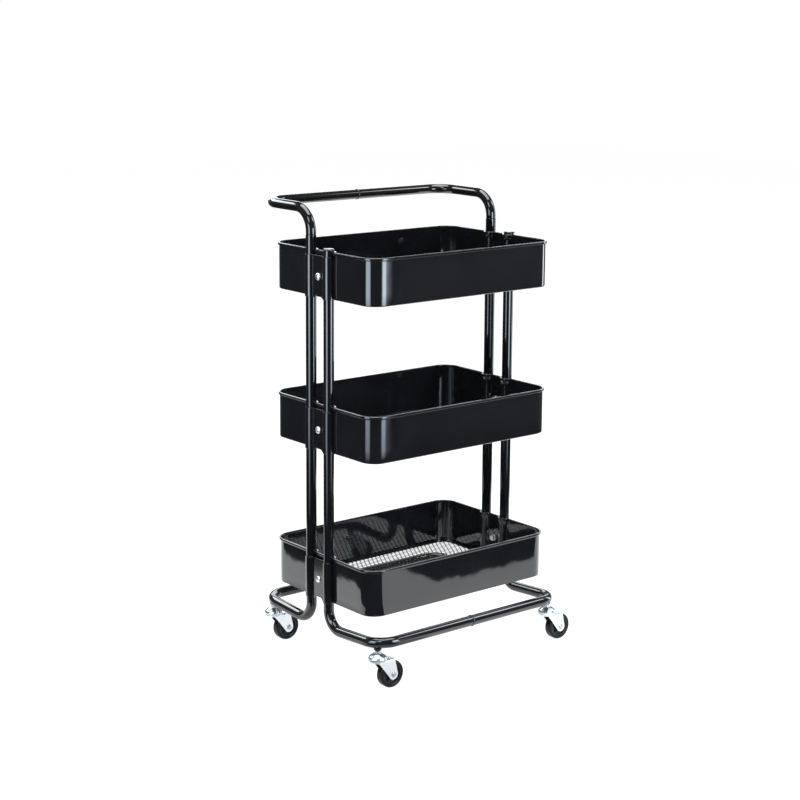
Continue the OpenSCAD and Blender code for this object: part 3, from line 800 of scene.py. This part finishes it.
# Profiles as rows of (radius, height, corner radius)
LOWER_RACE = [
    (5.2, 52.9, 0), (15.6, 52.9, 1.1), (15.6, 55.25, 1.0), (14.2, 55.25, 0.5), (13.0, 54.95, 0.5),
    (8.6, 54.95, 0.5), (7.8, 55.15, 0.5), (5.2, 55.15, 0), (5.2, 52.9, 0)]
STEM = [
    (0, 50.6, 0), (5.2, 50.6, 0.4), (6.4, 51.6, 0.4), (6.4, 52.85, 0.1), (4, 52.85, 0.1),
    (4, 58.8, 0.3), (13.6, 58.8, 0.5), (15.2, 57.8, 0.4), (15.2, 55.6, 0.3), (16.8, 55.6, 0.4),
    (16.8, 60.0, 1.3), (15.2, 63.0, 1.8), (12.0, 65.4, 1.5), (9.2, 67.4, 1.2), (6.5, 68.5, 0.4),
    (6.5, 70.2, 0.3), (4.05, 70.2, 0.2), (4.05, 74.2, 0), (0, 74.2, 0)]
# The wheel's own profiles are symmetric; height here runs along the axle.
AXLE = with_mirror([
    (0, -FORK_Y - 1.8, 0), (3.4, -FORK_Y - 1.75, 1.0), (5.2, -FORK_Y - 0.7, 0.5),
    (5.2, -FORK_Y - 0.06, 0.1), (3, -FORK_Y - 0.06, 0)])
TYRE = with_mirror([
    (18.55, -HALF_W + 0.6, 0), (19.6, -HALF_W + 0.15, 0.4), (21.0, -HALF_W, 0.5),
    (23.0, -HALF_W, 0.8), (24.3, -HALF_W + 1.0, 0.8), (24.95, -HALF_W + 2.6, 0.9)],
    middle=[(WHEEL_R, 0, 0)])
HUB = with_mirror([
    (3.06, -HALF_W - 0.5, 0), (6.4, -HALF_W - 0.5, 0.5), (7.1, -4.2, 0.8), (9.0, -3.2, 0.8),
    (14.4, -3.2, 0.8), (15.9, -4.4, 0.6), (16.4, -HALF_W + 0.7, 0.4), (18.5, -HALF_W + 0.7, 0.2)])


def tip_tangent(x, z, turn):
    """Where the line from (x, z) touches the leg's round tip; turn picks one of the two."""
    base = math.atan2(z - WHEEL_R, x - TRAIL)
    angle = base + turn * math.acos(LEG_TIP_R / math.hypot(x - TRAIL, z - WHEEL_R))
    return TRAIL + LEG_TIP_R * math.cos(angle), WHEEL_R + LEG_TIP_R * math.sin(angle)


# each straight edge of a leg runs from its tangent point up to its end, as (x, z)
LOW_X_END, HIGH_X_END = (-1.5, 48.5), (TRAIL + 3.6, 51.0)
LOW_X_START, HIGH_X_START = tip_tangent(*LOW_X_END, 1), tip_tangent(*HIGH_X_END, -1)


def along_edge(start, end, z):
    return start[0] + (end[0] - start[0]) * (z - start[1]) / (end[1] - start[1])


def leg_span(z):
    """Lowest and highest x of a fork leg at height z."""
    tip = math.sqrt(max(0.0, LEG_TIP_R ** 2 - (z - WHEEL_R) ** 2))
    if z < LOW_X_START[1]:
        low = TRAIL - tip
    elif z < LOW_X_END[1]:
        low = along_edge(LOW_X_START, LOW_X_END, z)
    else:
        # sweeps toward -X into the lip under the raceway
        share = min(1.0, (z - LOW_X_END[1]) / (FORK_TOP - 1.2 - LOW_X_END[1]))
        low = LOW_X_END[0] + (-12.0 - LOW_X_END[0]) * (0.35 * share + 0.65 * share ** 3)
    if z < HIGH_X_START[1]:
        high = TRAIL + tip
    elif z < HIGH_X_END[1]:
        high = along_edge(HIGH_X_START, HIGH_X_END, z)
    else:
        high = HIGH_X_END[0] - 1.2 * min(1.0, (z - HIGH_X_END[1]) / 4.0)
    return low, high


def fork_section():
    """Outer face across the fork as (y, z), from the tip on -Y over the top to the tip on +Y."""
    bend_r, leg_steps = 4.0, 34
    tip_z = WHEEL_R - LEG_TIP_R
    half = []
    for i in range(leg_steps + 1):
        rise = (i / leg_steps) ** 1.35
        half.append((-FORK_Y, tip_z + 0.02 + (FORK_TOP - bend_r - tip_z) * rise))
    for k in range(1, 7):
        angle = math.radians(180 - 90 * k / 6)
        half.append((-FORK_Y + bend_r + bend_r * math.cos(angle),
                     FORK_TOP - bend_r + bend_r * math.sin(angle)))
    flat = [(-FORK_Y + bend_r + (2 * (FORK_Y - bend_r)) * k / 6, FORK_TOP) for k in range(1, 6)]
    return half + flat + [(-y, z) for y, z in reversed(half)]


def fork():
    """Stamped fork as one folded sheet, two legs and a top, with the lower raceway."""
    section = fork_section()
    count, columns = len(section), 22
    verts, faces = [], []
    for side in (0, 1):                            # outer face, then inner
        for i, (y, z) in enumerate(section):
            before, after = section[max(0, i - 1)], section[min(count - 1, i + 1)]
            step_y, step_z = after[0] - before[0], after[1] - before[1]
            length = math.hypot(step_y, step_z)
            normal_y, normal_z = -step_z / length, step_y / length
            if z > FORK_TOP - 0.01:                # the top plate, round at its -X end
                low, high = -math.sqrt(max(0.0, 15.2 ** 2 - y * y)), TRAIL + 2.4
            else:
                low, high = leg_span(z)
            for c in range(columns + 1):
                share = 0.5 - 0.5 * math.cos(math.pi * (c / columns))
                verts.append(Vector(((low + (high - low) * share) * MM,
                                     (y - normal_y * FORK_T * side) * MM,
                                     (z - normal_z * FORK_T * side) * MM)))

    def at(side, i, c):
        return (side * count + i) * (columns + 1) + c

    end = columns
    for i in range(count - 1):
        for c in range(columns):
            faces.append((at(0, i, c), at(0, i, c + 1), at(0, i + 1, c + 1), at(0, i + 1, c)))
            faces.append((at(1, i + 1, c), at(1, i + 1, c + 1), at(1, i, c + 1), at(1, i, c)))
        faces.append((at(0, i, 0), at(0, i + 1, 0), at(1, i + 1, 0), at(1, i, 0)))
        faces.append((at(1, i, end), at(1, i + 1, end), at(0, i + 1, end), at(0, i, end)))
    last = count - 1
    for c in range(columns):
        faces.append((at(0, 0, c + 1), at(0, 0, c), at(1, 0, c), at(1, 0, c + 1)))
        faces.append((at(0, last, c), at(0, last, c + 1), at(1, last, c + 1), at(1, last, c)))
    return join([(verts, faces), lathe(round_corners(LOWER_RACE), 64)])


def wheel_centre():
    """Hub and web, with five stiffening ribs on each face."""
    parts = [ring_lathe(round_corners(HUB), 64, "Y")]
    box_faces = [(0, 2, 3, 1), (2, 4, 5, 3), (4, 6, 7, 5), (6, 0, 1, 7), (0, 6, 4, 2), (1, 3, 5, 7)]
    # section of a rib: (radius, half width, distance from the wheel's middle)
    rib = [(6.2, 0.95, 3.0), (16.4, 0.95, 3.0), (16.4, 0.65, 6.3 * 0.93), (6.2, 0.65, 6.3)]
    for face_sign in (-1, 1):
        for k in range(5):
            angle = 2 * math.pi * k / 5 + 0.3
            outward = Vector((math.cos(angle), 0, math.sin(angle)))
            across = Vector((-math.sin(angle), 0, math.cos(angle)))
            verts = [(outward * radius + across * half_width * edge
                      + Vector((0, face_sign * y, 0))) * MM
                     for radius, half_width, y in rib for edge in (-1, 1)]
            parts.append((verts, box_faces))
    return join(parts)


FORK = fork()
STEM_PART = lathe(round_corners(STEM), 64)
AXLE_PART = lathe(round_corners(AXLE), 40, "Y")
WHEEL_CENTRE = wheel_centre()
TREAD = ring_lathe(round_corners(TYRE), 96, "Y")

for key in ("fl", "fr", "rl", "rr"):
    caster = f"caster_{key}_"
    swivel, wheel = f"swivel_{key}", f"wheel_{key}"
    low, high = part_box(caster + "stem")
    x, y = (low.x + high.x) / 2, (low.y + high.y) / 2
    stem_at = Vector((x, y, 0))
    wheel_at = Vector((x + TRAIL * MM, y, WHEEL_R * MM))
    add_part(caster + "raceway_cup", move(STEM_PART, stem_at), CUP_ZINC,
             "cart", caster + "stem", centre_x=0)
    ob = add_part(caster + "stamped_fork", move(FORK, stem_at), CASTER_ZINC,
                  swivel, caster + "fork", sharp=45, centre_x=0)
    bevel(ob, 0.0004, 60)
    add_part(caster + "axle_rivet", move(AXLE_PART, wheel_at), RIVET_ZINC,
             swivel, caster + "axle", centre_x=0)
    ob = add_part(caster + "wheel_centre", move(WHEEL_CENTRE, wheel_at), HUB_PLASTIC,
                  wheel, caster + "hub", sharp=40, centre_x=0)
    bevel(ob, 0.0002, 50)
    add_part(caster + "tread", move(TREAD, wheel_at), TREAD_RUBBER,
             wheel, caster + "tyre", centre_x=0)
    set_material(caster + "balls", BALL_STEEL)
set_material("caster_weld_nuts", BOSS_COAT)


# ------------------------------------------------------------------- studio
def studio_world():
    """White to the camera, a dim cool grey to everything else."""
    world = bpy.data.worlds.new("studio")
    bpy.context.scene.world = world
    world.use_nodes = True
    tree = world.node_tree
    tree.nodes.clear()
    output = add_node(tree, "OutputWorld")
    rays = add_node(tree, "LightPath")
    seen = add_node(tree, "Background", {0: (1, 1, 1, 1), 1: 1.0})
    ambient = add_node(tree, "Background", {0: (0.93, 0.96, 1.0, 1), 1: 0.20})
    mix = add_node(tree, "MixShader", {0: rays.outputs["Is Camera Ray"],
                                       1: ambient.outputs[0], 2: seen.outputs[0]})
    tree.links.new(mix.outputs[0], output.inputs[0])


def floor_reflection(tree):
    """Painted light on the floor, seen only in reflections: a painted pool of light (a bright board)
    under the cart, darker beyond, with a painted shadow right under the cart.
    """
    coords = add_node(tree, "TexCoord").outputs["Object"]
    split = add_node(tree, "SeparateXYZ", {0: coords})
    x, y = split.outputs[0], split.outputs[1]
    noise = add_node(tree, "TexNoise", {"Scale": 14.0, "Detail": 4.0, "Vector": coords})

    def calc(operation, *operands):
        node = add_node(tree, "Math", dict(enumerate(operands)))
        node.operation = operation
        return node.outputs[0]

    def rect(x0, x1, y0, y1):
        """Distance outside a rectangle of the floor, negative inside."""
        over_x, over_y = (
            calc("SUBTRACT", calc("ABSOLUTE", calc("SUBTRACT", value, (low + high) / 2)),
                 (high - low) / 2)
            for value, low, high in ((x, x0, x1), (y, y0, y1)))
        return calc("MAXIMUM", over_x, over_y)

    def soft(distance, width, inside, outside):
        return map_range(tree, distance, (0.0, width), (inside, outside), smooth=True)

    # the painted pool of light (the board) is three joined rectangles with a slightly uneven edge
    board = calc("MINIMUM",
                 calc("MINIMUM", rect(-0.05, 0.25, -0.80, -0.20), rect(-0.05, 1.10, -0.53, 0.90)),
                 rect(-0.56, 1.10, -0.06, 0.90))
    board = calc("MULTIPLY_ADD", noise.outputs["Fac"], 0.04, calc("SUBTRACT", board, 0.02))
    glow = soft(board, 0.014, 2.0, 0.02)
    # faint painted light far out, weaker toward -X
    far = calc("MULTIPLY", soft(rect(-0.9, 0.9, -0.9, 0.9), 1.3, 0.0, 0.12),
               soft(calc("MULTIPLY", x, -1.0), 0.8, 1.0, 0.35))
    # painted shadow, darker right under the cart, but painted bright light in its -X, -Y quarter
    painted_cart_shadow = soft(rect(-0.34, 0.36, -0.14, 0.30), 0.10, -0.9, 0.0)
    total = calc("MAXIMUM", calc("ADD", calc("ADD", glow, far), painted_cart_shadow), 0.05)
    return calc("MAXIMUM", total, soft(rect(-0.33, 0.0, -0.33, 0.0), 0.04, 0.95, 0.0))


def studio_floor():
    """Pale floor, with its own look for the camera, painted light and shadow for reflections, and its
    own look for other rays.
    """
    bm = bmesh.new()
    bmesh.ops.create_grid(bm, x_segments=1, y_segments=1, size=9.0)
    mesh = bpy.data.meshes.new("studio_floor")
    bm.to_mesh(mesh)
    bm.free()
    ob = bpy.data.objects.new("studio_floor", mesh)
    bpy.context.scene.collection.objects.link(ob)
    material = bpy.data.materials.new("pale_floor")
    material.use_nodes = True
    tree = material.node_tree
    tree.nodes.clear()
    output = add_node(tree, "OutputMaterial")
    diffuse = add_node(tree, "BsdfDiffuse", {0: (0.40, 0.40, 0.40, 1)})
    white = add_node(tree, "Emission", {0: (1, 1, 1, 1), 1: 0.96})
    dim = add_node(tree, "BsdfDiffuse", {0: (0.16, 0.16, 0.16, 1)})
    seen = add_node(tree, "AddShader", {0: dim.outputs[0], 1: white.outputs[0]})
    # painted pool of light and painted shadow on the floor, seen only in reflections
    reflected = add_node(tree, "Emission", {0: (0.97, 0.98, 1.0, 1), 1: floor_reflection(tree)})
    rays = add_node(tree, "LightPath")
    unseen = add_node(tree, "MixShader", {0: rays.outputs["Is Glossy Ray"],
                                          1: diffuse.outputs[0], 2: reflected.outputs[0]})
    mix = add_node(tree, "MixShader", {0: rays.outputs["Is Camera Ray"],
                                       1: unseen.outputs[0], 2: seen.outputs[0]})
    tree.links.new(mix.outputs[0], output.inputs[0])
    mesh.materials.append(material)
    ob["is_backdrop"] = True


def glow_panel(name, corners, face, material_name, color, strength):
    """Glowing quad out of the camera's sight; returns it with its tree and emission node."""
    mesh = bpy.data.meshes.new(name)
    mesh.from_pydata([tuple(corner) for corner in corners], [], [face])
    ob = bpy.data.objects.new(name, mesh)
    material = bpy.data.materials.new(material_name)
    material.use_nodes = True
    tree = material.node_tree
    tree.nodes.clear()
    output = add_node(tree, "OutputMaterial")
    emission = add_node(tree, "Emission", {0: color + (1,), 1: strength})
    tree.links.new(emission.outputs[0], output.inputs[0])
    mesh.materials.append(material)
    bpy.context.scene.collection.objects.link(ob)
    ob.visible_camera = False
    ob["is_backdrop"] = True
    return ob, tree, emission


def softbox(name, azimuth, distance, bottom, top, half_angle, strength, color,
            lean=0.0, foot=1.0, full_z=0.6, core=0.35):
    """Upright panel facing the middle. Azimuth in degrees from +X, anticlockwise.
    half_angle: half its width as seen from the middle, degrees. lean: shift inward of its top.
    foot: share of the strength at its foot, rising to full at height full_z.
    core: share of the width at full strength, fading to the side edges."""
    angle = math.radians(azimuth)
    width = 2 * distance * math.tan(math.radians(half_angle))
    centre = Vector((math.cos(angle) * distance, math.sin(angle) * distance, 0))
    across = (-math.sin(angle), math.cos(angle), 0)
    half = Vector(across) * width / 2
    up = Vector((0, 0, 1))
    inward = Vector((-math.cos(angle), -math.sin(angle), 0)) * lean
    corners = [centre - half + up * bottom, centre + half + up * bottom,
               centre + half + up * top + inward, centre - half + up * top + inward]
    ob, tree, emission = glow_panel(name, corners, (0, 1, 2, 3), name + "_light", color, strength)
    ob.visible_shadow = False
    position = add_node(tree, "NewGeometry").outputs["Position"]
    split = add_node(tree, "SeparateXYZ", {0: position})
    rise = map_range(tree, split.outputs[2], (bottom, max(full_z, bottom + 0.01)),
                     (strength * foot, strength))
    dot = add_node(tree, "VectorMath", {0: position, 1: across})
    dot.operation = "DOT_PRODUCT"
    sideways = add_node(tree, "Math", {0: dot.outputs["Value"]})
    sideways.operation = "ABSOLUTE"
    fade = map_range(tree, sideways.outputs[0], (width / 2 * core, width / 2), (1.0, 0.0),
                     smooth=True)
    product = add_node(tree, "Math", {0: rise, 1: fade})
    product.operation = "MULTIPLY"
    tree.links.new(product.outputs[0], emission.inputs[1])


studio_world()
studio_floor()
BLUE, COOL = (0.78, 0.89, 1.0), (0.92, 0.97, 1.0)
softbox("softbox_left", azimuth=188.5, distance=1.2, bottom=0.0, top=1.0, half_angle=17,
        strength=8.3, color=BLUE, foot=0.08, full_z=0.5, core=0.45)
softbox("softbox_right", azimuth=-80.5, distance=1.2, bottom=0.0, top=1.0, half_angle=19,
        strength=12.5, color=BLUE, foot=0.08, full_z=0.5)
softbox("edge_right", azimuth=-10, distance=2.6, bottom=0.0, top=2.0, half_angle=9,
        strength=7.0, color=(0.84, 0.92, 1.0))
softbox("backdrop_low", azimuth=55, distance=2.6, bottom=0.95, top=1.8, half_angle=32,
        strength=3.5, color=COOL, core=0.7)
softbox("backdrop_high", azimuth=104, distance=2.6, bottom=1.75, top=2.25, half_angle=26,
        strength=10.0, color=COOL, lean=0.5)
softbox("key_right", azimuth=-30, distance=2.6, bottom=2.1, top=2.6, half_angle=13,
        strength=10.0, color=COOL, lean=0.5)
softbox("key_left", azimuth=-150, distance=2.6, bottom=2.0, top=2.6, half_angle=12,
        strength=9.0, color=COOL, lean=0.5)
glow_panel("overhead_panel",
           [(-1.1, -1.1, 3.0), (1.1, -1.1, 3.0), (1.1, 1.1, 3.0), (-1.1, 1.1, 3.0)],
           (0, 3, 2, 1), "overhead_light", color=(1, 1, 1), strength=7.0)


# ------------------------------------------------------------------- camera
def add_camera(location, yaw, pitch, roll, lens, shift_x, shift_y):
    """Angles in radians: yaw from +Y toward +X, pitch downward, roll about the view line."""
    camera = bpy.data.cameras.new("view")
    ob = bpy.data.objects.new("view", camera)
    bpy.context.scene.collection.objects.link(ob)
    camera.sensor_fit = "HORIZONTAL"
    camera.sensor_width = 36.0
    camera.lens = lens
    camera.shift_x, camera.shift_y = shift_x, shift_y
    camera.clip_start, camera.clip_end = 0.05, 60
    forward = Vector((math.sin(yaw) * math.cos(pitch), math.cos(yaw) * math.cos(pitch),
                      -math.sin(pitch)))
    level = Vector((math.cos(yaw), -math.sin(yaw), 0))
    upward = level.cross(forward)
    right = level * math.cos(roll) + upward * math.sin(roll)
    up = -level * math.sin(roll) + upward * math.cos(roll)
    matrix = Matrix.Identity(4)
    for i in range(3):
        matrix[i][:] = (right[i], up[i], -forward[i], location[i])
    ob.matrix_world = matrix
    bpy.context.scene.camera = ob


add_camera((-2.12294 + CENTRE_X, -2.59628, 1.20646), yaw=0.699, pitch=0.174, roll=0.010,
           lens=82.95525, shift_x=-0.04675, shift_y=-0.09725)
view = bpy.context.scene.view_settings
view.view_transform = "Standard"
view.look = "None"

low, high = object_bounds()
